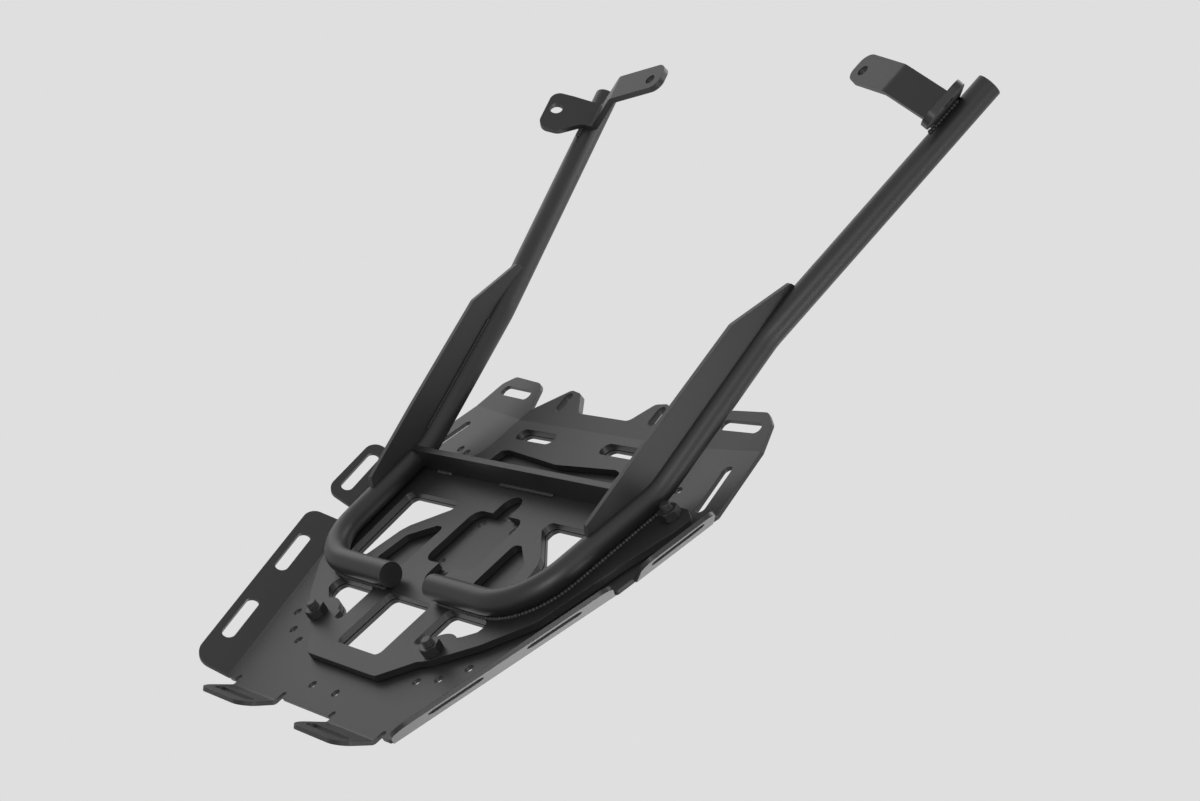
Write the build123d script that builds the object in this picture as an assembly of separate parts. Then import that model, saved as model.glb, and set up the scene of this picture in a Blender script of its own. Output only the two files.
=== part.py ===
from build123d import *
import os
from math import cos, pi, radians, sin, sqrt, tan

# Motorcycle luggage rack. Millimetres. +Z up, +Y forward, +X the right-hand side of the bike.
# The origin is the centre of the four-hole accessory pattern, on the luggage face.

# Sheet metal
TOP_T = 3.0
PLATE_GAP = 0.8
BASE_T = 5.0
TOP_BEND_R = 3.0
BASE_BEND_R = 5.0
BASE_TOP_Z = -(TOP_T + PLATE_GAP)
BASE_LOW_Z = BASE_TOP_Z - BASE_T

# Lengths that were measured from the first row of holes are moved to the pattern centre
ROW_TO_CENTRE = 95.0

# Accessory holes
ACCESSORY_HOLE_D = 6.5
PATTERN_X = 40.0
PATTERN_Y = 40.0
PATTERN_ENDS_Y = 60.0
REAR_HOLES = [(114.1, 0.0), (97.4, -14.8), (79.5, -21.8), (15.7, -50.4)]
WING_HOLES = [(134.3, 180.2), (122.8, 177.6)]

# Side flanges of the top plate
SIDE_ANGLE = 31.3
REAR_TAPER = 20.6
REAR_FOLD = (112.4, -63.0)
REAR_FLANGE = (-4.0, 160.0)
MID_TAPER = 13.1
MID_FOLD = (175.3, 103.0)
MID_FLANGE = (-2.0, 59.0)
FLANGE_REACH = 30.0
SLOT_W = 10.0
SLOT_L = 40.5
SLOT_V = 19.2
REAR_SLOTS = (44.2, 116.2)
MID_SLOT_U = 29.4

# Rear tabs and front tabs
TAB_ANGLE = 42.0
TAB_FOLD_Y = -71.0
TAB_X = (36.3, 96.5)
TAB_REACH = 25.5
TAB_SLOT = (50.0, 7.0)
FRONT_ANGLE = 9.0
FRONT_FOLD = (97.0, 219.0)
WING_CORNER = (172.5, 226.5)

# Bolts between the plates
BOLT_D = 8.0
BOLT_HOLE_D = 8.4
BOLTS = [(77.0, 0.0), (163.0, 152.0)]
HEAD_D = 14.0
HEAD_H = 4.4
SOCKET_AF = 5.0
SOCKET_DEEP = 3.0
SPACER_D = 16.0
NUT_AF = 13.0
NUT_H = 6.5
THREAD_END = 4.5
BORE_CLEARANCE = 0.1

# Frame tubes
TUBE_D = 18.0
TUBE_WALL = 2.0
TUBE_REAR = (28.1, 42.1)
TUBE_CORNER_X = 130.0
TUBE_BEND_1 = (144.0, 160.6)
TUBE_BEND_2 = (159.0, 279.5, 35.9)
TUBE_FRONT = (218.3, 487.1, 91.9)
HOOK_R = 45.0
BEND_R = 60.0
PLUG_T = 3.0

# Cross plate and gussets
CROSS_Y = 149.0
CROSS_T = 5.0
CROSS_H = 18.0
GUSSET_T = 4.0

# Front brackets. Places along the tube are distances back from its front end.
BRACKET_T = 5.0
BRACKET_BEND_R = 3.0
BRACKET_ROLL = 34.2
FOOT_BACK = (54.9, 18.2)
FOOT_OUT = 37.3
FOOT_FOLD = 2.8
FOOT_HOLE = (33.9, 28.9)
FOOT_HOLE_D = 10.5
STRAP_BACK = (43.0, 19.0)
STRAP_ANGLE = 66.6
STRAP_L = 38.9
EAR_ANGLE = 29.8
EAR_L = 48.8
EAR_HOLE = (33.4, 37.4)
EAR_HOLE_D = 8.5

TUBE_LOW_Z = BASE_LOW_Z - TUBE_D
TUBE_Z = BASE_LOW_Z - TUBE_D / 2


def fwd(y):
    return y - ROW_TO_CENTRE


def outline(points, shift=ROW_TO_CENTRE):
    """Face through corners (x, y, corner radius)."""
    corners = [(Vector(x, y - shift, 0), r) for x, y, r in points]
    count = len(corners)
    starts = []
    ends = []
    mids = []
    for i in range(count):
        before = corners[i - 1][0]
        here, r = corners[i]
        after = corners[(i + 1) % count][0]
        a = (before - here).normalized()
        b = (after - here).normalized()
        half = radians(a.get_angle(b)) / 2
        reach = r / tan(half) if r else 0
        starts.append(here + a * reach)
        ends.append(here + b * reach)
        middle = (a + b).normalized() if r else a
        mids.append(here + middle * (r / sin(half) - r) if r else here)
    edges = []
    for i in range(count):
        if corners[i][1]:
            edges.append(ThreePointArc(starts[i], mids[i], ends[i]).edge())
        following = (i + 1) % count
        if (starts[following] - ends[i]).length > 1e-6:
            edges.append(Line(ends[i], starts[following]).edge())
    return make_face(edges)


def slab(face, top, thickness):
    """Sheet with its upper face at height top."""
    return extrude(Pos(0, 0, top) * face, amount=thickness, dir=(0, 0, -1))


def both(shape):
    """The shape and its mirror image about the middle plane."""
    return [shape, mirror(shape, about=Plane.YZ)]


def disc(x, y, d, top, depth):
    return Pos(x, fwd(y), top) * Cylinder(d / 2, depth, align=(Align.CENTER, Align.CENTER, Align.MAX))


def slot_cut(x, y, length, width, angle, top, depth):
    face = Pos(x, fwd(y)) * Rot(0, 0, angle) * SlotOverall(length, width)
    return extrude(Pos(0, 0, top) * face, amount=depth, dir=(0, 0, -1))


def fold(plane, u0, u1, angle, thickness, radius):
    """Rolled bend. Plane: x along the fold, y the way out, z the convex face. Returns it and the plane after it."""
    outer = radius + thickness
    a = radians(angle)
    centre = plane.origin - plane.z_dir * outer
    def at(r, t):
        return centre + plane.y_dir * (r * sin(t)) + plane.z_dir * (r * cos(t)) + plane.x_dir * u0
    edges = [
        ThreePointArc(at(outer, 0), at(outer, a / 2), at(outer, a)).edge(),
        Line(at(outer, a), at(radius, a)).edge(),
        ThreePointArc(at(radius, a), at(radius, a / 2), at(radius, 0)).edge(),
        Line(at(radius, 0), at(outer, 0)).edge(),
    ]
    sector = extrude(make_face(edges), amount=u1 - u0, dir=plane.x_dir)
    y_dir = plane.y_dir * cos(a) - plane.z_dir * sin(a)
    z_dir = plane.y_dir * sin(a) + plane.z_dir * cos(a)
    origin = centre + z_dir * outer
    return sector, Plane(origin=origin, x_dir=plane.x_dir, z_dir=z_dir)


def panel(plane, points, thickness, holes=()):
    """Flat sheet on a plane, from corners (u, v, radius), with holes already cut from its face."""
    face = outline(points, shift=0)
    for hole in holes:
        face = face - hole
    return extrude(plane * face, amount=thickness, dir=-plane.z_dir)


def turned_over(plane, thickness):
    """The same sheet seen from its other face, for a bend the other way. The u axis turns round."""
    return Plane(origin=plane.origin - plane.z_dir * thickness, x_dir=-plane.x_dir, z_dir=-plane.z_dir)


def at_uv(u, v, shape):
    return Pos(u, v) * shape


def left_point(x, y, z=0.0):
    return Vector(-x, fwd(y), z)


# Openings through both plates

def side_windows():
    """Right-hand openings that go through both plates."""
    boss = Pos(BOLTS[0][0], fwd(BOLTS[0][1])) * Circle(17)
    rear = outline([(48.5, 34.5, 5), (100, 34.5, 6), (98, 24, 4), (88, 17, 0), (77, 12, 0), (58, 8, 0), (57, 1, 3),
                    (48.5, 1, 3.5)]) - boss
    big = outline([(57, 125.5, 5), (126, 125.5, 5), (119, 58, 6), (97, 58, 6), (88, 88, 8), (83.5, 94.5, 8), (57, 117, 3)])
    front = Pos(52.5, fwd(200)) * SlotOverall(46, 11.5)
    return [rear, big, front]


def middle_window():
    return outline([(-28, -16.5, 5), (28, -16.5, 5), (28, 34.5, 5), (-28, 34.5, 5)])


def cut_windows(body, top, depth):
    cutter = [extrude(Pos(0, 0, top) * middle_window(), amount=depth, dir=(0, 0, -1))]
    for face in side_windows():
        tool = extrude(Pos(0, 0, top) * face, amount=depth, dir=(0, 0, -1))
        cutter += both(tool)
    return body - cutter


# Top plate: the bent, slotted luggage face

def top_plate():
    rear_dir = Vector(-sin(radians(REAR_TAPER)), cos(radians(REAR_TAPER)), 0)
    rear_origin = left_point(*REAR_FOLD)
    mid_dir = Vector(-sin(radians(MID_TAPER)), cos(radians(MID_TAPER)), 0)
    mid_origin = left_point(*MID_FOLD)
    rear_near = rear_origin + rear_dir * REAR_FLANGE[0]
    rear_far = rear_origin + rear_dir * REAR_FLANGE[1]
    mid_near = mid_origin + mid_dir * MID_FLANGE[0]
    mid_far = mid_origin + mid_dir * MID_FLANGE[1]
    left = [
        (0, fwd(-68), 0), (-TAB_X[0], fwd(-68), 0), (-TAB_X[0], fwd(TAB_FOLD_Y), 0), (-TAB_X[1], fwd(TAB_FOLD_Y), 0),
        (-TAB_X[1], fwd(-68), 0), (rear_near.X + 1.5, fwd(-68), 0),
        (rear_near.X, rear_near.Y, 0), (rear_far.X, rear_far.Y, 0), (-171.5, fwd(87), 3), (mid_near.X, mid_near.Y, 0),
        (mid_far.X, mid_far.Y, 0), (-191, fwd(166), 3), (-WING_CORNER[0], fwd(WING_CORNER[1]), 0),
        (-FRONT_FOLD[0], fwd(FRONT_FOLD[1]), 0), (0, fwd(FRONT_FOLD[1]), 0),
    ]
    half = slab(outline(left, shift=0), 0, TOP_T)

    # Rear side flange with two strap slots
    plane = Plane(origin=rear_origin, x_dir=rear_dir, z_dir=(0, 0, 1))
    sector, end = fold(plane, REAR_FLANGE[0], REAR_FLANGE[1], SIDE_ANGLE, TOP_T, TOP_BEND_R)
    slots = [at_uv(u, SLOT_V, SlotOverall(SLOT_L, SLOT_W)) for u in REAR_SLOTS]
    corners = [(REAR_FLANGE[0], 0, 0), (REAR_FLANGE[1], 0, 0), (REAR_FLANGE[1] - 0.5, FLANGE_REACH, 9),
               (REAR_FLANGE[0] + 1.5, FLANGE_REACH, 14)]
    half = half + [sector, panel(end, corners, TOP_T, slots)]

    # Short side flange behind the wing, one strap slot
    plane = Plane(origin=mid_origin, x_dir=mid_dir, z_dir=(0, 0, 1))
    sector, end = fold(plane, MID_FLANGE[0], MID_FLANGE[1], SIDE_ANGLE, TOP_T, TOP_BEND_R)
    slots = [at_uv(MID_SLOT_U, SLOT_V - 0.7, SlotOverall(SLOT_L + 1.5, SLOT_W - 0.5))]
    corners = [(MID_FLANGE[0], 0, 0), (MID_FLANGE[1], 0, 0), (MID_FLANGE[1], FLANGE_REACH - 2, 9),
               (MID_FLANGE[0] + 3, FLANGE_REACH - 0.5, 10)]
    half = half + [sector, panel(end, corners, TOP_T, slots)]

    # Rear tab, folded down behind the plate
    plane = Plane(origin=left_point(0, TAB_FOLD_Y), x_dir=(-1, 0, 0), z_dir=(0, 0, 1))
    sector, end = fold(plane, TAB_X[0], TAB_X[1], TAB_ANGLE, TOP_T, TOP_BEND_R)
    slots = [at_uv(sum(TAB_X) / 2 - 1.4, TAB_REACH / 2 + 1, SlotOverall(*TAB_SLOT))]
    corners = [(TAB_X[0], 0, 0), (TAB_X[1], 0, 0), (TAB_X[1] + 1.5, TAB_REACH, 11), (TAB_X[0] - 5, TAB_REACH, 11)]
    half = half + [sector, panel(end, corners, TOP_T, slots)]

    # Front tab at the corner of the wing
    corner = left_point(*WING_CORNER)
    inner = left_point(*FRONT_FOLD)
    along = (inner - corner).normalized()
    width = (inner - corner).length
    plane = Plane(origin=corner, x_dir=along, z_dir=(0, 0, 1))
    sector, end = fold(plane, 0, width, FRONT_ANGLE, TOP_T, TOP_BEND_R)
    slots = [at_uv(34.5, 20.2, Rot(0, 0, 2.6) * SlotOverall(39.5, 9))]
    corners = [(0, 0, 0), (width, 0, 0), (width - 18, 34, 12), (17.5, 33.5, 7), (7.5, 24.5, 7)]
    half = half + [sector, panel(end, corners, TOP_T, slots)]

    # Relief notches beside the rear tab and at the ends of the flanges
    for x in (TAB_X[0] - 2.3, TAB_X[1] + 2.3):
        half = half - slot_cut(-x, -68, 10, 4.4, 90, 1, TOP_T + 2)
    body = half + mirror(half, about=Plane.YZ)

    # Strap slot along the edge of each wing
    cutter = both(slot_cut(165.3, 187, 46, 7.5, 107.2, 1, TOP_T + 2))
    for x, y in REAR_HOLES + WING_HOLES:
        cutter += both(disc(x, y, ACCESSORY_HOLE_D, 1, TOP_T + 2))
    for x, y in BOLTS:
        cutter += both(disc(x, y, BOLT_HOLE_D, 1, TOP_T + 2))
    for x in (-PATTERN_X / 2, PATTERN_X / 2):
        for y in (-PATTERN_Y / 2, PATTERN_Y / 2):
            cutter.append(disc(x, y + ROW_TO_CENTRE, ACCESSORY_HOLE_D, 1, TOP_T + 2))
    for y in (-PATTERN_ENDS_Y / 2, PATTERN_ENDS_Y / 2):
        cutter.append(disc(0, y + ROW_TO_CENTRE, ACCESSORY_HOLE_D, 1, TOP_T + 2))
    body = body - cutter
    return cut_windows(body, 1, TOP_T + 2)


# Base plate: laser-cut stiffener below the luggage face

def base_plate():
    fold_y = 213.4
    left = [
        (0, -32, 0), (-46, -32, 8), (-71, -11.5, 10), (-80, -8.2, 8), (-112, 15, 15), (-141, 44, 25), (-157, 88, 25),
        (-163, 105, 20), (-180, 143, 10), (-182, 153.5, 4), (-170, 161, 4), (-92.5, 161, 26),
        (-92.5, fold_y, 0), (0, fold_y, 0),
    ]
    half = slab(outline(left), BASE_TOP_Z, BASE_T)

    # Front flange with its ear, folded down a little
    plane = Plane(origin=left_point(92.5, fold_y, BASE_TOP_Z), x_dir=(1, 0, 0), z_dir=(0, 0, 1))
    sector, end = fold(plane, 0, 92.5, FRONT_ANGLE, BASE_T, BASE_BEND_R)
    slots = [at_uv(92.5 - 56.5, 21, Rot(0, 0, 90) * SlotOverall(18, 8.5))]
    corners = [(0, 0, 0), (92.5, 0, 0), (92.5, 13.5, 0), (62, 13.5, 9), (47, 31, 7), (34, 33, 7), (4.5, 10, 3)]
    half = half + [sector, panel(end, corners, BASE_T, slots)]
    body = half + mirror(half, about=Plane.YZ)

    # Openings of the base plate alone, with the sheet of the top plate showing below them
    depth = BASE_T + 2
    top = BASE_TOP_Z + 1
    middle = Pos(0, fwd(95.5)) * RectangleRounded(61, 53, 9)
    lobes = [Pos(0, fwd(y)) * Circle(10) for y in (131, 60)]
    necks = [Pos(0, fwd(y)) * Rectangle(20, 16) for y in (124, 67)]
    front = outline([(0, 177, 0), (66, 182.5, 5), (73.5, 180.5, 3), (78, 160, 4), (-78, 160, 4), (-73.5, 180.5, 3),
                     (-66, 182.5, 5)])
    recess = outline([(45.5, 100, 4), (54, 100, 4), (76, 85, 7), (82, 58, 4), (45.5, 58, 4)])
    cutter = []
    for face in [middle] + lobes + necks + [front, recess, mirror(recess, about=Plane.YZ)]:
        cutter.append(extrude(Pos(0, 0, top) * face, amount=depth, dir=(0, 0, -1)))
    for x, y in BOLTS:
        cutter += both(disc(x, y, BOLT_HOLE_D, top, depth))
    body = body - cutter
    return cut_windows(body, top, depth)


# Right-hand frame tube

def tube_points():
    return [
        (Vector(TUBE_REAR[0], fwd(TUBE_REAR[1]), TUBE_Z), 0),
        (Vector(TUBE_CORNER_X, fwd(TUBE_REAR[1]), TUBE_Z), HOOK_R),
        (Vector(TUBE_BEND_1[0], fwd(TUBE_BEND_1[1]), TUBE_Z), BEND_R),
        (Vector(TUBE_BEND_2[0], fwd(TUBE_BEND_2[1]), TUBE_Z - TUBE_BEND_2[2]), BEND_R),
        (Vector(TUBE_FRONT[0], fwd(TUBE_FRONT[1]), TUBE_Z - TUBE_FRONT[2]), 0),
    ]


def tube_path():
    points = tube_points()
    edges = []
    last = points[0][0]
    for i in range(1, len(points) - 1):
        here, r = points[i]
        a = (points[i - 1][0] - here).normalized()
        b = (points[i + 1][0] - here).normalized()
        half = radians(a.get_angle(b)) / 2
        reach = r / tan(half)
        start = here + a * reach
        end = here + b * reach
        mid = here + (a + b).normalized() * (r / sin(half) - r)
        edges.append(Line(last, start).edge())
        edges.append(ThreePointArc(start, mid, end).edge())
        last = end
    edges.append(Line(last, points[-1][0]).edge())
    return Wire(edges)


def tube_solid(diameter):
    path = tube_path()
    start = Plane(origin=path @ 0, z_dir=path % 0)
    return sweep(start * Circle(diameter / 2), path=path)


def frame_tube():
    path = tube_path()
    start = Plane(origin=path @ 0, z_dir=path % 0)
    ring = Circle(TUBE_D / 2) - Circle(TUBE_D / 2 - TUBE_WALL)
    return sweep(start * ring, path=path)


def end_plug(place):
    """Flat disc closing one end of the tube, flush with it."""
    path = tube_path()
    inward = path % place if place == 0 else -(path % place)
    plane = Plane(origin=path @ place, z_dir=inward)
    return extrude(plane * Circle(TUBE_D / 2 - TUBE_WALL), amount=PLUG_T)


def cross_plate():
    """Upright plate between the tubes, its ends cut to their round."""
    y = fwd(CROSS_Y)
    box = Pos(0, y, BASE_LOW_Z) * Box(280, CROSS_T, CROSS_H, align=(Align.CENTER, Align.MIN, Align.MAX))
    body = box - both(tube_solid(TUBE_D))
    return max(body.solids(), key=lambda s: s.volume)


def gusset():
    """Plate standing along the tube over both of its bends, its foot cut to the round."""
    points = tube_points()
    a = points[2][0]
    b = points[3][0]
    run = Vector(b.X - a.X, b.Y - a.Y, 0).normalized()
    # Local x runs forward along the tube seen from above, local y runs down
    plane = Plane(origin=Vector(a.X, a.Y, TUBE_Z), x_dir=run, z_dir=run.cross(Vector(0, 0, -1)))
    shape = [(-54, 0, 0), (-56, 7.5, 0), (-52, 15.5, 1), (10, 34, 20), (103, 60, 6), (153.5, 56.5, 2), (158, 47, 0),
             (120, 36, 0), (5, 0, 0)]
    body = extrude(plane * outline(shape, shift=0), amount=GUSSET_T / 2, both=True)
    body = body - tube_solid(TUBE_D)
    return max(body.solids(), key=lambda s: s.volume)


# Right-hand front bracket, three panels with two bends, welded to the tube by its foot

def bracket_plane():
    points = tube_points()
    tip = points[-1][0]
    u = (tip - points[-2][0]).normalized()
    side = Vector(u.Y, -u.X, 0).normalized()
    down = side.cross(u)
    if down.Z > 0:
        down = -down
    roll = radians(BRACKET_ROLL)
    n = down * cos(roll) - side * sin(roll)
    w = side * cos(roll) + down * sin(roll)
    return tip, u, w, n


def front_bracket():
    tip, u, w, n = bracket_plane()
    near = -FOOT_BACK[0]
    far = -FOOT_BACK[1]
    lo = -STRAP_BACK[0]
    hi = -STRAP_BACK[1]
    low = tip + n * (TUBE_D / 2)

    # Foot: lies on the tube. Local x runs along the tube, local y towards the middle of the bike.
    foot = Plane(origin=low + n * BRACKET_T, x_dir=u, z_dir=n)
    flip = 1 if foot.y_dir.dot(w) < 0 else -1
    hole = at_uv(-FOOT_HOLE[0], -flip * FOOT_HOLE[1], Circle(FOOT_HOLE_D / 2))
    corners = [(near, -FOOT_OUT, 8), (far, -FOOT_OUT, 8), (far, -20, 10), (hi, -4, 10), (hi, FOOT_FOLD, 0),
               (lo, FOOT_FOLD, 0), (lo, -4, 10), (near, -20, 10)]
    body = [panel(foot, [(x, flip * y, r) for x, y, r in corners], BRACKET_T, [hole])]

    # Strap: bends down away from the tube, then the ear bends part of the way back
    start = Plane(origin=low - w * FOOT_FOLD, x_dir=u, z_dir=-n)
    if start.y_dir.dot(w) > 0:
        start = Plane(origin=start.origin, x_dir=-u, z_dir=-n)
    sign = 1 if start.x_dir.dot(u) > 0 else -1
    u0, u1 = sorted((sign * lo, sign * hi))
    sector, strap = fold(start, u0, u1, STRAP_ANGLE, BRACKET_T, BRACKET_BEND_R)
    body += [sector, panel(strap, [(u0, 0, 0), (u1, 0, 0), (u1, STRAP_L, 0), (u0, STRAP_L, 0)], BRACKET_T)]
    back = turned_over(Plane(origin=strap.origin + strap.y_dir * STRAP_L, x_dir=strap.x_dir, z_dir=strap.z_dir), BRACKET_T)
    sector, ear = fold(back, -u1, -u0, EAR_ANGLE, BRACKET_T, BRACKET_BEND_R)
    hole = at_uv(sign * EAR_HOLE[0], EAR_HOLE[1], Circle(EAR_HOLE_D / 2))
    body += [sector, panel(ear, [(-u1, 0, 0), (-u0, 0, 0), (-u0, EAR_L, 9), (-u1, EAR_L, 9)], BRACKET_T, [hole])]
    return body[0] + body[1:]


# Fasteners

def hexagon(across):
    return RegularPolygon(across / sqrt(3), 6)


def screw(x, y):
    """Button-head screw, its head on the luggage face."""
    grip = TOP_T + PLATE_GAP + BASE_T + NUT_H + THREAD_END
    shank = Pos(0, 0, 0) * Cylinder(BOLT_D / 2, grip, align=(Align.CENTER, Align.CENTER, Align.MAX))
    shank = chamfer(shank.faces().sort_by(Axis.Z)[0].edges(), 0.8)
    profile = make_face([
        Line((0, 0), (HEAD_D / 2, 0)).edge(),
        ThreePointArc((HEAD_D / 2, 0), (HEAD_D / 2 * 0.78, HEAD_H * 0.68), (HEAD_D / 2 * 0.42, HEAD_H)).edge(),
        Line((HEAD_D / 2 * 0.42, HEAD_H), (0, HEAD_H)).edge(),
        Line((0, HEAD_H), (0, 0)).edge(),
    ])
    head = revolve(Plane.XZ * profile, Axis.Z)
    socket = extrude(Pos(0, 0, HEAD_H) * hexagon(SOCKET_AF), amount=SOCKET_DEEP, dir=(0, 0, -1))
    return Pos(x, fwd(y), 0) * ((head + shank) - socket)


def spacer(x, y):
    """Thin washer that keeps the two plates apart."""
    face = Circle(SPACER_D / 2) - Circle(BOLT_HOLE_D / 2)
    return extrude(Pos(x, fwd(y), -TOP_T) * face, amount=PLATE_GAP, dir=(0, 0, -1))


def nut(x, y):
    """Hexagon nut, both faces chamfered."""
    body = extrude(hexagon(NUT_AF), amount=NUT_H, dir=(0, 0, -1))
    corner_d = NUT_AF / cos(pi / 6)
    turned = Cylinder(corner_d / 2, NUT_H, align=(Align.CENTER, Align.CENTER, Align.MAX))
    turned = chamfer(turned.edges().filter_by(GeomType.CIRCLE), 0.6, 1.0)
    bore = Cylinder((BOLT_D + BORE_CLEARANCE) / 2, 40)
    return Pos(x, fwd(y), BASE_LOW_Z) * ((body & turned) - bore)


def write(name, shape):
    shape.label = name
    export_step(shape, "parts/" + name + ".step")


def write_pair(name, shape):
    """Right-hand piece and its mirror image."""
    write(name + "_right", shape)
    write(name + "_left", mirror(shape, about=Plane.YZ))


os.makedirs("parts", exist_ok=True)
write("top_plate", top_plate())
write("base_plate", base_plate())
write_pair("frame_tube", frame_tube())
write_pair("tube_plug_rear", end_plug(0))
write_pair("tube_plug_front", end_plug(1))
write("cross_plate", cross_plate())
write_pair("gusset", gusset())
write_pair("front_bracket", front_bracket())
for place, (x, y) in zip(("rear", "front"), BOLTS):
    write_pair("screw_" + place, screw(x, y))
    write_pair("spacer_" + place, spacer(x, y))
    write_pair("nut_" + place, nut(x, y))
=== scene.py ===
import math
from contextlib import contextmanager

import bpy
from mathutils import Matrix, Vector


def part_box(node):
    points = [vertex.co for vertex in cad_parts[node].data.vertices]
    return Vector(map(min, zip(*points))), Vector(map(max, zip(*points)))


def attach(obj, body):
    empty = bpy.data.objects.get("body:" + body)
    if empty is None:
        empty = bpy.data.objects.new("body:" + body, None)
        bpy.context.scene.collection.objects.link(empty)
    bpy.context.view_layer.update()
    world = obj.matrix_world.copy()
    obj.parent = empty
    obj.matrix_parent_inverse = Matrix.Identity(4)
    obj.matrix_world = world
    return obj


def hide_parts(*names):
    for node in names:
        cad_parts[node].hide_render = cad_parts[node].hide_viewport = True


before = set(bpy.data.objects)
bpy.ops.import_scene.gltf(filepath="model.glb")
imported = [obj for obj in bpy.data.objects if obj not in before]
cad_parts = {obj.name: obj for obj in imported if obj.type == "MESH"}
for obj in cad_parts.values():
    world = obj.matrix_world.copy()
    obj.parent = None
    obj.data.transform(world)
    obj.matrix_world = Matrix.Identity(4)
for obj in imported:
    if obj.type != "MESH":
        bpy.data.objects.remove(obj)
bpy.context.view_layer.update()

bl_info = {
    "name": "Motorcycle luggage rack",
    "version": (1, 0, 0),
    "blender": (4, 5, 0),
    "location": "View3D > Sidebar > Rack",
    "description": "Coat, screws, weld beads and studio of a motorcycle luggage rack",
    "category": "Object",
}

# Sizes are in millimetres, turned to metres by this factor, where nothing else is said
MM = 0.001

# The rack is its own mirror image: the right-hand side is given and the left is reflected
MIRROR = Matrix.Scale(-1, 4, (1, 0, 0))

# Heights of the base plate's underside and of the tube's centre line, below the luggage face
PLATES_LOW_Z = -8.8
TUBE_R = 9.0
TUBE_Z = PLATES_LOW_Z - TUBE_R

# Corners of the right-hand tube's centre line
TUBE_END = Vector((28.1, -52.9, TUBE_Z))
TUBE_CORNER = Vector((130.0, -52.9, TUBE_Z))
TUBE_BEND_1 = Vector((144.0, 65.6, TUBE_Z))
TUBE_BEND_2 = Vector((159.0, 184.5, TUBE_Z - 35.9))
TUBE_FRONT = Vector((218.3, 392.1, TUBE_Z - 91.9))
HOOK_R = 45.0

# Side flanges of the folded plate: a point on the fold, its taper in degrees and the stretch
# along it. The photograph shows them bent a little further than the solids have them.
SIDE_FOLDS = (
    ((112.4, -158.0), 20.6, (-5.0, 161.0)),
    ((175.3, 8.0), 13.1, (-3.0, 60.0)),
)
FOLD_OUTER_R = 6.0
FOLD_SOLID = 31.3
FOLD_SEEN = 38.0
# Points nearer to the fold than this lie on the flat sheet
FOLD_CLEAR = 0.01
DOUBLES = 0.001

# Screws that hold the two plates together: places, shank and where the thread runs
BOLTS = {"rear": (77.0, -95.0), "front": (163.0, 57.0)}
SCREW_R = 4.0
SCREW_END_Z = -19.8
SCREW_END_R = SCREW_R - 0.9
THREAD_TOP_Z = -15.0
SCREW_FACETS = 64

# Chamfer at the screw's end: its length, and how far it stops short of full width as a share
# of the thread's depth
LEAD = 0.7
LEAD_SHORT = 0.4

# Shares of the pitch at which the thread's root and crest begin and end
ROOT_SPAN = (0.45, 0.55)
CREST_SPAN = (0.95, 1.05)

# Button head: its sizes, the angles that its crown is drawn through and how full the crown is
HEAD_R = 7.0
HEAD_H = 4.4
HEAD_UNDERCUT = 0.3
HEAD_EDGE_H = 0.4
CROWN_ANGLES = (0, 15, 30, 45, 60)
CROWN_TOP = 62
CROWN_FULLNESS = 0.75
SOCKET_AF = 5.0
SOCKET_DEEP = 3.0

# Largest angles, in degrees, between faces that are shaded as one surface
SMOOTH_PLATE = 25
SMOOTH_SCREW = 32
SMOOTH_BEAD = 60

# Nodes whose names start with these words are plated; all others carry the powder coat
FASTENER_WORDS = ("screw", "nut", "spacer")

# Height of the centre line of the beads that lie on the base plate
WELD_Z = PLATES_LOW_Z - 0.5
# Hook: how far out from the tube's centre line, how far from its end, and points on its curve
HOOK_WELD_OUT = 6.0
HOOK_WELD_START = 8.0
HOOK_CURVE_STEPS = 16
# Cross plate: stretches from the middle outwards, and how far behind the plate
CROSS_STRETCHES = ((0.5, 32.0), (100.0, 118.0))
CROSS_WELD_BACK = 0.5
# Gusset: shares of the run between the bends, how far in on the tube, how far clear of it,
# and the bead's size as a share of the others
GUSSET_SPAN = (0.1, 0.9)
GUSSET_WELD_IN = 2.6
GUSSET_WELD_CLEAR = 0.2
GUSSET_BEAD = 0.5
# Bracket: its turn about the tube, the seam's offset across and into the tube, and the
# stretch measured back from the tube's front end
BRACKET_ROLL = 34.2
BRACKET_WELD_ACROSS = 4.4
BRACKET_WELD_SUNK = 0.9
BRACKET_STRETCH = (50.0, 22.0)

# One ripple of a bead: facets round and along, and its proportions
RIPPLE_FACETS = (12, 8)
RIPPLE_SHAPE = (0.85, 1.0, 0.9)
# A hand-laid bead swells unevenly: share and turn per ripple of two overlaid waves
SWELLS = ((0.10, 2.4), (0.05, 5.1))

# The photograph's camera: where it stands, what it looks at and how far it is rolled
CAMERA_EYE = Vector((-1372.6, -551.3, -713.5))
CAMERA_AIM = Vector((-31.8, 121.5, -38.1))
CAMERA_ROLL = 149.12
SENSOR_W = 36.0

# Rays that find how round an edge looks
EDGE_SAMPLES = 6

# Metres: how near and far the camera sees, and the floor's width
CLIP = (0.05, 50.0)
FLOOR_W = 12.0

# Soft lamps, in metres: where each stands, its width and its power as a share of the first's
LAMPS = {
    "ahead": ((0.0, 1.6, 0.0), 1.0, 1.0),
    "mirrored_in_the_plates": ((1.5, 0.75, -0.8), 1.2, 0.45),
    "by_the_camera": ((-1.1, -0.4, -0.75), 0.4, 0.6),
    "over_the_left_edge": ((-1.3, 0.1, 0.5), 0.5, 0.36),
    "above": ((0.2, 0.3, 1.6), 1.0, 0.8),
}
LAMP_AIM = Vector((0.0, 0.1, -0.05))


def linear(code):
    """Linear colour from an sRGB hex value."""
    values = [int(code[i:i + 2], 16) / 255 for i in (1, 3, 5)]
    return [v / 12.92 if v <= 0.04045 else ((v + 0.055) / 1.055) ** 2.4 for v in values]


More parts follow.
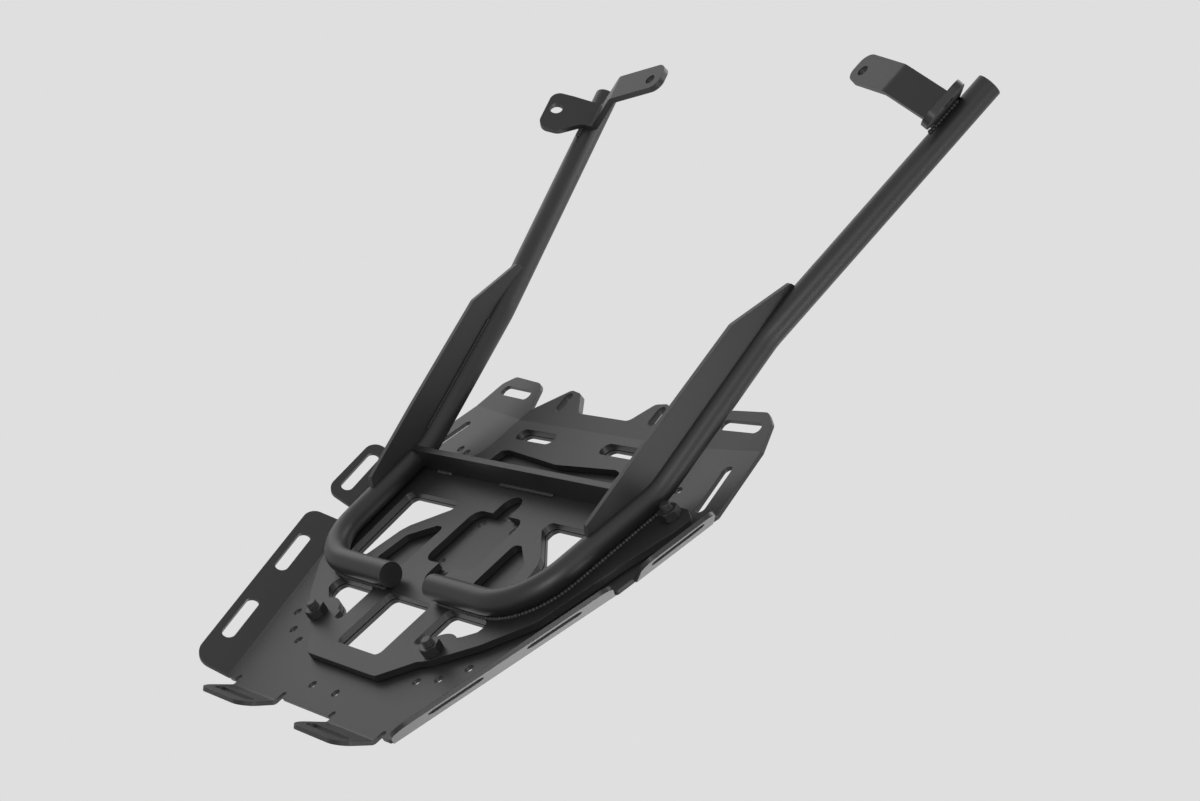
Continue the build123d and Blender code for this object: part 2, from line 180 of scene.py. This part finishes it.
class RackCoat(bpy.types.PropertyGroup):
    """Sizes and colour of the powder coat."""
    colour: bpy.props.FloatVectorProperty(
        name="Colour", description="Colour of the satin black powder coat",
        subtype="COLOR", size=3, default=linear("#252526"))
    roughness: bpy.props.FloatProperty(
        name="Roughness", description="How satin the coat is",
        default=0.46, min=0, max=1, subtype="FACTOR")
    peel_size: bpy.props.FloatProperty(
        name="Peel size", description="Width of one ripple of the cured powder",
        default=1.4 * MM, unit="LENGTH")
    peel_depth: bpy.props.FloatProperty(
        name="Peel depth", description="Height of the ripples",
        default=0.012 * MM, unit="LENGTH", precision=6)
    edge_radius: bpy.props.FloatProperty(
        name="Edge radius", description="Round that the coat leaves on a sheared edge",
        default=0.35 * MM, unit="LENGTH")


class RackFasteners(bpy.types.PropertyGroup):
    """Finish and thread of the screws and nuts."""
    colour: bpy.props.FloatVectorProperty(
        name="Colour", description="Colour of the black zinc plating",
        subtype="COLOR", size=3, default=linear("#2a2a2b"))
    pitch: bpy.props.FloatProperty(
        name="Thread pitch", description="Distance between two crests of the thread",
        default=1.25 * MM, unit="LENGTH")
    depth: bpy.props.FloatProperty(
        name="Thread depth", description="Height of the thread above its root",
        default=0.6 * MM, unit="LENGTH")


class RackWelds(bpy.types.PropertyGroup):
    """Size of the weld beads."""
    radius: bpy.props.FloatProperty(
        name="Bead radius", description="Half the width of a bead",
        default=2.1 * MM, unit="LENGTH")
    step: bpy.props.FloatProperty(
        name="Ripple step", description="Distance between two ripples of a bead",
        default=2.6 * MM, unit="LENGTH")


class RackStudio(bpy.types.PropertyGroup):
    """Camera, floor and light."""
    lens: bpy.props.FloatProperty(
        name="Lens", description="Focal length of the camera",
        default=72.0, unit="CAMERA")
    floor_drop: bpy.props.FloatProperty(
        name="Floor drop", description="Height of the rack above the floor",
        default=1.4, unit="LENGTH")
    backdrop: bpy.props.FloatVectorProperty(
        name="Backdrop", description="Colour behind the rack",
        subtype="COLOR", size=3, default=linear("#dfdfdf"))
    floor_glow: bpy.props.FloatProperty(
        name="Floor glow", description="Paleness that the floor shows to the camera",
        default=0.5, min=0, max=1, subtype="FACTOR")
    fill: bpy.props.FloatProperty(
        name="Fill", description="Strength of the even light all round",
        default=0.3, min=0, max=1, subtype="FACTOR")
    lamps: bpy.props.FloatProperty(
        name="Lamps", description="Power of the strongest soft lamp",
        default=10.0, unit="POWER")


# Materials

def node(tree, kind, settings=None, links=None):
    """Adds a node, sets its sockets and properties, and links (node, output) pairs to sockets."""
    item = tree.nodes.new(kind)
    for key, value in (settings or {}).items():
        if isinstance(key, int) or key in item.inputs:
            item.inputs[key].default_value = value
        else:
            setattr(item, key, value)
    for key, (source, output) in (links or {}).items():
        tree.links.new(source.outputs[output], item.inputs[key])
    return item


def new_material(name):
    """An empty material with one shader that goes to its output."""
    material = bpy.data.materials.new(name)
    material.use_nodes = True
    tree = material.node_tree
    tree.nodes.clear()
    shader = node(tree, "ShaderNodeBsdfPrincipled")
    node(tree, "ShaderNodeOutputMaterial", links={"Surface": (shader, "BSDF")})
    return material, tree, shader


def blotches(tree, place, size, detail):
    """Noise with blotches of about this size in metres."""
    return node(tree, "ShaderNodeTexNoise", {"Scale": 1 / size, "Detail": detail},
                {"Vector": (place, "Object")})


def vary_colour(tree, shader, noise, colour, darkest, lightest):
    """Lets the colour wander between two shares of itself."""
    shade = node(tree, "ShaderNodeValToRGB", links={"Fac": (noise, "Fac")})
    for stop, share in zip(shade.color_ramp.elements, (darkest, lightest)):
        stop.color = [share * c for c in colour] + [1]
    tree.links.new(shade.outputs["Color"], shader.inputs["Base Color"])


def vary_roughness(tree, shader, noise, middle, spread):
    """Lets the roughness wander about its middle value."""
    gloss = node(tree, "ShaderNodeMapRange",
                 {"To Min": middle - spread / 2, "To Max": middle + spread / 2},
                 {"Value": (noise, "Fac")})
    tree.links.new(gloss.outputs["Result"], shader.inputs["Roughness"])


def ripple_surface(tree, shader, noise, strength, height, edge_radius):
    """Fine bumps, over edges that are drawn round."""
    edge = node(tree, "ShaderNodeBevel", {"Radius": edge_radius, "samples": EDGE_SAMPLES})
    bumps = node(tree, "ShaderNodeBump", {"Strength": strength, "Distance": height},
                 {"Height": (noise, "Fac"), "Normal": (edge, "Normal")})
    tree.links.new(bumps.outputs["Normal"], shader.inputs["Normal"])


def satin_black_powder_coat(name):
    """Polyester powder, sprayed and baked: a satin film with a faint ripple."""
    coat = bpy.context.scene.rack_coat
    material, tree, shader = new_material(name)
    shader.inputs["IOR"].default_value = 1.5
    place = node(tree, "ShaderNodeTexCoord")
    # The film is thicker in some places than in others, which moves its colour a little
    film = blotches(tree, place, size=60 * MM, detail=2.0)
    vary_colour(tree, shader, film, coat.colour, darkest=0.9, lightest=1.1)
    # Satin varies with the grain of the powder, some 0.05 mm wide and drawn coarser to show
    grain = blotches(tree, place, size=0.5 * MM, detail=1.0)
    vary_roughness(tree, shader, grain, coat.roughness, spread=0.1)
    # The cured film has a ripple
    peel = blotches(tree, place, size=coat.peel_size, detail=2.0)
    ripple_surface(tree, shader, peel, strength=0.6, height=coat.peel_depth,
                   edge_radius=coat.edge_radius)
    return material


def black_zinc_plated_steel(name):
    """Zinc plated and black passivated steel: a little glossier than the coat, and mottled."""
    material, tree, shader = new_material(name)
    place = node(tree, "ShaderNodeTexCoord")
    stain = blotches(tree, place, size=3 * MM, detail=3.0)
    vary_colour(tree, shader, stain, bpy.context.scene.rack_fasteners.colour,
                darkest=0.8, lightest=1.3)
    # The plating's grain is finer than this too, and is drawn coarser to show
    mark = blotches(tree, place, size=0.4 * MM, detail=2.0)
    vary_roughness(tree, shader, mark, middle=0.45, spread=0.1)
    ripple_surface(tree, shader, mark, strength=0.4, height=0.01 * MM,
                   edge_radius=0.25 * MM)
    return material


def seen_directly(tree):
    """Node that gives 1 to camera, glossy and transmission rays and 0 to rays that light."""
    path = node(tree, "ShaderNodeLightPath")
    total = node(tree, "ShaderNodeMath", {"operation": "ADD", "use_clamp": True},
                 {0: (path, "Is Camera Ray"), 1: (path, "Is Glossy Ray")})
    return node(tree, "ShaderNodeMath", {"operation": "ADD", "use_clamp": True},
                {0: (total, "Value"), 1: (path, "Is Transmission Ray")})


def pale_seamless_paper(name):
    """Pale seamless paper: plain, dull and even."""
    studio = bpy.context.scene.rack_studio
    material, tree, shader = new_material(name)
    for socket in ("Base Color", "Emission Color"):
        shader.inputs[socket].default_value = list(studio.backdrop) + [1]
    shader.inputs["Roughness"].default_value = 0.9
    # It looks pale to the camera and in reflections, and throws no light of its own
    glow = node(tree, "ShaderNodeMath", {"operation": "MULTIPLY", 1: studio.floor_glow},
                {0: (seen_directly(tree), "Value")})
    tree.links.new(glow.outputs["Value"], shader.inputs["Emission Strength"])
    return material


def dress(piece, maker):
    """Gives a piece one material all over. It has its maker's name and is made only once."""
    name = maker.__name__
    material = bpy.data.materials.get(name) or maker(name)
    piece.data.materials.clear()
    piece.data.materials.append(material)


# Modelling helpers

def deselect():
    """Leaves edit mode and selects nothing."""
    if bpy.context.object and bpy.context.object.mode != "OBJECT":
        bpy.ops.object.mode_set(mode="OBJECT")
    bpy.ops.object.select_all(action="DESELECT")


def select_only(piece):
    """Selects one piece and makes it the active one."""
    deselect()
    piece.select_set(True)
    bpy.context.view_layer.objects.active = piece


@contextmanager
def editing():
    """Edit mode on the active object, with its whole mesh selected at the start."""
    bpy.ops.object.mode_set(mode="EDIT")
    bpy.ops.mesh.select_all(action="SELECT")
    yield
    bpy.ops.object.mode_set(mode="OBJECT")


def named(name):
    """The active object, with its place put into its mesh and both named."""
    piece = bpy.context.object
    piece.name = name
    piece.data.name = name
    bpy.ops.object.transform_apply(location=True, rotation=True, scale=True)
    return piece


def smooth(piece, angle):
    """Shades a piece smooth where its faces meet at less than this angle."""
    select_only(piece)
    bpy.ops.object.shade_smooth_by_angle(angle=math.radians(angle))


def apply_modifier(piece, name, kind, **settings):
    """Adds a modifier and puts its result into the mesh."""
    modifier = piece.modifiers.new(name, kind)
    for key, value in settings.items():
        setattr(modifier, key, value)
    select_only(piece)
    bpy.ops.object.modifier_apply(modifier=modifier.name)


def copy_of(piece, name, matrix):
    """A copy with its own mesh, moved by a matrix in its mesh."""
    mesh = piece.data.copy()
    mesh.transform(matrix)
    if matrix.determinant() < 0:
        mesh.flip_normals()
    copy = bpy.data.objects.new(name, mesh)
    mesh.name = name
    bpy.context.collection.objects.link(copy)
    return copy


# Coat

class RACK_OT_coat(bpy.types.Operator):
    """Powder coat on the plates, tubes, gussets and brackets, plating on nuts and spacers"""
    bl_idname = "rack.coat"
    bl_label = "Coat and plating"

    def execute(self, context):
        for name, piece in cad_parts.items():
            plated = name.startswith(FASTENER_WORDS)
            dress(piece, black_zinc_plated_steel if plated else satin_black_powder_coat)
        return {"FINISHED"}


# Folded plate

def bend_further(co):
    """Turns a point of a side flange, in millimetres, about the centre of its bend."""
    side = 1 if co.x > 0 else -1
    for (fold_x, fold_y), taper, (start, stop) in SIDE_FOLDS:
        t = math.radians(taper)
        dx = side * co.x - fold_x
        dy = co.y - fold_y
        along = dx * math.sin(t) + dy * math.cos(t)
        out = dx * math.cos(t) - dy * math.sin(t)
        if out < FOLD_CLEAR or not start < along < stop:
            continue
        up = co.z + FOLD_OUTER_R
        # The turn grows through the bend and is whole on the flange
        reached = min(math.degrees(math.atan2(out, up)) / FOLD_SOLID, 1.0)
        turn = math.radians(FOLD_SEEN - FOLD_SOLID) * reached
        new_out = out * math.cos(turn) + up * math.sin(turn)
        new_up = up * math.cos(turn) - out * math.sin(turn)
        x = fold_x + along * math.sin(t) + new_out * math.cos(t)
        y = fold_y + along * math.cos(t) - new_out * math.sin(t)
        return Vector((side * x, y, new_up - FOLD_OUTER_R))
    return co


class RACK_OT_folded_plate(bpy.types.Operator):
    """Folded top plate with its side flanges bent as far as the photograph shows"""
    bl_idname = "rack.folded_plate"
    bl_label = "Folded plate"

    def execute(self, context):
        plate = copy_of(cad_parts["top_plate"], "folded_plate", Matrix.Identity(4))
        select_only(plate)
        with editing():
            bpy.ops.mesh.remove_doubles(threshold=DOUBLES * MM)
        for vertex in plate.data.vertices:
            vertex.co = bend_further(vertex.co / MM) * MM
        smooth(plate, SMOOTH_PLATE)
        # Flat sheet keeps one normal up to the start of each bend
        apply_modifier(plate, "flat_sheet", "WEIGHTED_NORMAL", keep_sharp=True, weight=100)
        dress(plate, satin_black_powder_coat)
        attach(plate, "root")
        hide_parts("top_plate")
        return {"FINISHED"}


# Screws with threaded ends

def screw_outline(pitch, depth):
    """Heights and radii, in metres, from a screw's threaded end to the top of its head.

    The thread is drawn as parallel rings at its true pitch, and not as a helix.
    """
    crest = SCREW_R * MM
    z = (SCREW_END_Z + LEAD) * MM
    outline = [(z, crest - depth * LEAD_SHORT)]
    while z + pitch < THREAD_TOP_Z * MM:
        outline += [(z + pitch * share, crest - depth) for share in ROOT_SPAN]
        outline += [(z + pitch * share, crest) for share in CREST_SPAN]
        z += pitch
    outline += [(0.0, crest), (0.0, (HEAD_R - HEAD_UNDERCUT) * MM)]
    crown_h = (HEAD_H - HEAD_EDGE_H) / math.sin(math.radians(CROWN_TOP))
    for angle in CROWN_ANGLES:
        a = math.radians(angle)
        outline.append(((HEAD_EDGE_H + crown_h * math.sin(a)) * MM,
                        HEAD_R * math.cos(a) ** CROWN_FULLNESS * MM))
    return outline


def turned_screw():
    """One screw, drawn up from a disc step by step, its socket cut by a hexagonal punch."""
    sizes = bpy.context.scene.rack_fasteners
    z, r = SCREW_END_Z * MM, SCREW_END_R * MM
    deselect()
    bpy.ops.mesh.primitive_circle_add(vertices=SCREW_FACETS, radius=r, fill_type="NGON",
                                      location=(0, 0, z))
    screw = named("screw_master")
    with editing():
        for next_z, next_r in screw_outline(sizes.pitch, sizes.depth):
            bpy.ops.mesh.extrude_region_move(
                TRANSFORM_OT_translate={"value": (0, 0, next_z - z)})
            scale = next_r / r
            bpy.ops.transform.resize(value=(scale, scale, 1), center_override=(0, 0, next_z))
            z, r = next_z, next_r
        bpy.ops.mesh.select_all(action="SELECT")
        bpy.ops.mesh.normals_make_consistent(inside=False)
    deselect()
    bpy.ops.mesh.primitive_cylinder_add(vertices=6, radius=SOCKET_AF / math.sqrt(3) * MM,
                                        depth=SOCKET_DEEP * 2 * MM,
                                        location=(0, 0, HEAD_H * MM))
    punch = named("socket_punch")
    apply_modifier(screw, "socket", "BOOLEAN", operation="DIFFERENCE", object=punch)
    bpy.data.objects.remove(punch)
    smooth(screw, SMOOTH_SCREW)
    return screw


class RACK_OT_screws(bpy.types.Operator):
    """Four button-head screws with threaded ends, in place of the plain ones"""
    bl_idname = "rack.screws"
    bl_label = "Threaded screws"

    def execute(self, context):
        master = turned_screw()
        dress(master, black_zinc_plated_steel)
        for place, (x, y) in BOLTS.items():
            for side, sign in (("right", 1), ("left", -1)):
                name = "screw_" + place + "_" + side
                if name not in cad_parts:
                    raise RuntimeError("no node " + name)
                spot = Matrix.Translation((sign * x * MM, y * MM, 0))
                piece = copy_of(master, "threaded_" + name, spot)
                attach(piece, "root")
                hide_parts(name)
        bpy.data.objects.remove(master)
        return {"FINISHED"}


# Weld beads

def spread(points, step):
    """Places at even steps along a broken line, each with the direction there."""
    places = []
    t = 0.0
    for a, b in zip(points, points[1:]):
        run = b - a
        while t < run.length:
            places.append((a + run * (t / run.length), run.normalized()))
            t += step
        t -= run.length
    return places


def ripple():
    """One ripple of a weld bead: a rounded drop, flattened along the seam."""
    deselect()
    segments, rings = RIPPLE_FACETS
    bpy.ops.mesh.primitive_uv_sphere_add(segments=segments, ring_count=rings, radius=1.0)
    piece = named("ripple")
    with editing():
        bpy.ops.transform.resize(value=RIPPLE_SHAPE)
    return piece


def weld_bead(name, routes, share=1.0):
    """A bead along each route in millimetres, and its mirror image, as one piece.

    A share below 1 makes the bead finer.
    """
    sizes = bpy.context.scene.rack_welds
    master = ripple()
    parts = []
    for route in routes:
        for number, (place, run) in enumerate(spread(route, sizes.step * share / MM)):
            swell = 1 + sum(part * math.sin(number * turn) for part, turn in SWELLS)
            matrix = (Matrix.Translation(place * MM)
                      @ run.to_track_quat("X", "Z").to_matrix().to_4x4()
                      @ Matrix.Scale(sizes.radius * share * swell, 4))
            parts.append(copy_of(master, name, matrix))
            parts.append(copy_of(master, name, MIRROR @ matrix))
    bpy.data.objects.remove(master)
    deselect()
    for part in parts:
        part.select_set(True)
    bpy.context.view_layer.objects.active = parts[0]
    bpy.ops.object.join()
    bead = named(name)
    smooth(bead, SMOOTH_BEAD)
    dress(bead, satin_black_powder_coat)
    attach(bead, "root")


class RACK_OT_hook_welds(bpy.types.Operator):
    """Fillet along the outer side of each tube's hook on the base plate"""
    bl_idname = "rack.hook_welds"
    bl_label = "Hook welds"

    def execute(self, context):
        along = (TUBE_BEND_1 - TUBE_CORNER).normalized()
        turn = math.atan2(along.y, along.x)
        centre = TUBE_CORNER + Vector((-HOOK_R * math.tan(turn / 2), HOOK_R, 0))
        start_y = TUBE_END.y - HOOK_WELD_OUT
        route = [Vector((TUBE_END.x + HOOK_WELD_START, start_y)), Vector((centre.x, start_y))]
        for step in range(1, HOOK_CURVE_STEPS + 1):
            a = turn * step / HOOK_CURVE_STEPS - math.pi / 2
            out = Vector((math.cos(a), math.sin(a)))
            route.append(centre.xy + out * (HOOK_R + HOOK_WELD_OUT))
        route.append(TUBE_BEND_1.xy + Vector((along.y, -along.x)) * HOOK_WELD_OUT)
        weld_bead("weld_bead_hooks", [[Vector((*point, WELD_Z)) for point in route]])
        return {"FINISHED"}


class RACK_OT_cross_welds(bpy.types.Operator):
    """Stitches along the foot of the cross plate"""
    bl_idname = "rack.cross_welds"
    bl_label = "Cross plate welds"

    def execute(self, context):
        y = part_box("cross_plate")[0][1] / MM - CROSS_WELD_BACK
        weld_bead("weld_bead_cross_plate",
                  [[Vector((x, y, WELD_Z)) for x in stretch] for stretch in CROSS_STRETCHES])
        return {"FINISHED"}


class RACK_OT_gusset_welds(bpy.types.Operator):
    """Fine fillet on the inner side of each gusset's foot, on the tube"""
    bl_idname = "rack.gusset_welds"
    bl_label = "Gusset welds"

    def execute(self, context):
        run = TUBE_BEND_2 - TUBE_BEND_1
        aside = Vector((run.y, -run.x, 0)).normalized()
        below = aside.cross(run).normalized()
        if below.z > 0:
            below = -below
        drop = math.sqrt(TUBE_R ** 2 - GUSSET_WELD_IN ** 2) + GUSSET_WELD_CLEAR
        foot = TUBE_BEND_1 - aside * GUSSET_WELD_IN + below * drop
        weld_bead("weld_bead_gussets", [[foot + run * share for share in GUSSET_SPAN]],
                  GUSSET_BEAD)
        return {"FINISHED"}


class RACK_OT_bracket_welds(bpy.types.Operator):
    """Seam between each front bracket's foot and its tube"""
    bl_idname = "rack.bracket_welds"
    bl_label = "Bracket welds"

    def execute(self, context):
        run = (TUBE_FRONT - TUBE_BEND_2).normalized()
        side = Vector((run.y, -run.x, 0)).normalized()
        down = side.cross(run)
        if down.z > 0:
            down = -down
        roll = math.radians(BRACKET_ROLL)
        into_foot = down * math.cos(roll) - side * math.sin(roll)
        across = side * math.cos(roll) + down * math.sin(roll)
        seam = (TUBE_FRONT + across * BRACKET_WELD_ACROSS
                + into_foot * (TUBE_R - BRACKET_WELD_SUNK))
        weld_bead("weld_bead_brackets", [[seam - run * back for back in BRACKET_STRETCH]])
        return {"FINISHED"}


# Studio

def soft_light(name, place, size, power):
    """Large square light at a place in metres, turned to the rack."""
    data = bpy.data.lights.new(name, "AREA")
    data.shape = "SQUARE"
    data.size = size
    data.energy = power
    lamp = bpy.data.objects.new(name, data)
    lamp.location = place
    lamp.rotation_euler = (LAMP_AIM - Vector(place)).to_track_quat("-Z", "Y").to_euler()
    lamp.visible_camera = False
    bpy.context.collection.objects.link(lamp)


def photo_camera(lens):
    """Camera at the photograph's place and angle."""
    data = bpy.data.cameras.new("photo_camera")
    data.lens = lens
    data.sensor_fit = "HORIZONTAL"
    data.sensor_width = SENSOR_W
    data.clip_start, data.clip_end = CLIP
    camera = bpy.data.objects.new("photo_camera", data)
    look = (CAMERA_AIM - CAMERA_EYE).normalized()
    level_right = look.cross(Vector((0, 0, 1))).normalized()
    level_up = level_right.cross(look)
    turn = Matrix((level_right, level_up, -look)).transposed()
    roll = Matrix.Rotation(math.radians(CAMERA_ROLL), 3, "Z")
    camera.rotation_euler = (turn @ roll).to_euler()
    camera.location = CAMERA_EYE * MM
    bpy.context.collection.objects.link(camera)
    bpy.context.scene.camera = camera


def studio_world(colour, fill):
    """Plain backdrop to the camera and to reflections, and a weaker even light on the object."""
    world = bpy.data.worlds.new("studio")
    bpy.context.scene.world = world
    world.use_nodes = True
    tree = world.node_tree
    tree.nodes.clear()
    level = node(tree, "ShaderNodeMapRange", {"To Min": fill, "To Max": 1.0},
                 {"Value": (seen_directly(tree), "Value")})
    back = node(tree, "ShaderNodeBackground", {"Color": list(colour) + [1]},
                {"Strength": (level, "Result")})
    node(tree, "ShaderNodeOutputWorld", links={"Surface": (back, "Background")})


class RACK_OT_studio(bpy.types.Operator):
    """Floor, soft lights, backdrop and the photograph's camera"""
    bl_idname = "rack.studio"
    bl_label = "Studio"

    def execute(self, context):
        studio = context.scene.rack_studio
        deselect()
        bpy.ops.mesh.primitive_plane_add(size=FLOOR_W, location=(0, 0, -studio.floor_drop))
        floor = named("floor")
        dress(floor, pale_seamless_paper)
        for name, (place, width, share) in LAMPS.items():
            soft_light(name, place, width, studio.lamps * share)
        photo_camera(studio.lens)
        studio_world(studio.backdrop, studio.fill)
        context.scene.view_settings.view_transform = "Standard"
        return {"FINISHED"}


# Add-on

class RACK_PT_panel(bpy.types.Panel):
    """Lists the steps that dress the rack, and their settings"""
    bl_idname = "RACK_PT_panel"
    bl_label = "Luggage rack"
    bl_space_type = "VIEW_3D"
    bl_region_type = "UI"
    bl_category = "Rack"

    def draw(self, context):
        for step in STEPS:
            self.layout.operator(step.bl_idname)
        for name, group in GROUPS.items():
            for setting in group.__annotations__:
                self.layout.prop(getattr(context.scene, name), setting)


STEPS = (RACK_OT_coat, RACK_OT_folded_plate, RACK_OT_screws, RACK_OT_hook_welds,
         RACK_OT_cross_welds, RACK_OT_gusset_welds, RACK_OT_bracket_welds, RACK_OT_studio)
GROUPS = {"rack_coat": RackCoat, "rack_fasteners": RackFasteners, "rack_welds": RackWelds,
          "rack_studio": RackStudio}


def register():
    for name, group in GROUPS.items():
        bpy.utils.register_class(group)
        setattr(bpy.types.Scene, name, bpy.props.PointerProperty(type=group))
    for item in STEPS + (RACK_PT_panel,):
        bpy.utils.register_class(item)


def unregister():
    for item in (RACK_PT_panel,) + STEPS[::-1]:
        bpy.utils.unregister_class(item)
    for name, group in GROUPS.items():
        delattr(bpy.types.Scene, name)
        bpy.utils.unregister_class(group)


def main():
    register()
    bpy.ops.rack.coat()
    bpy.ops.rack.folded_plate()
    bpy.ops.rack.screws()
    bpy.ops.rack.hook_welds()
    bpy.ops.rack.cross_welds()
    bpy.ops.rack.gusset_welds()
    bpy.ops.rack.bracket_welds()
    bpy.ops.rack.studio()


if __name__ == "__main__":
    main()
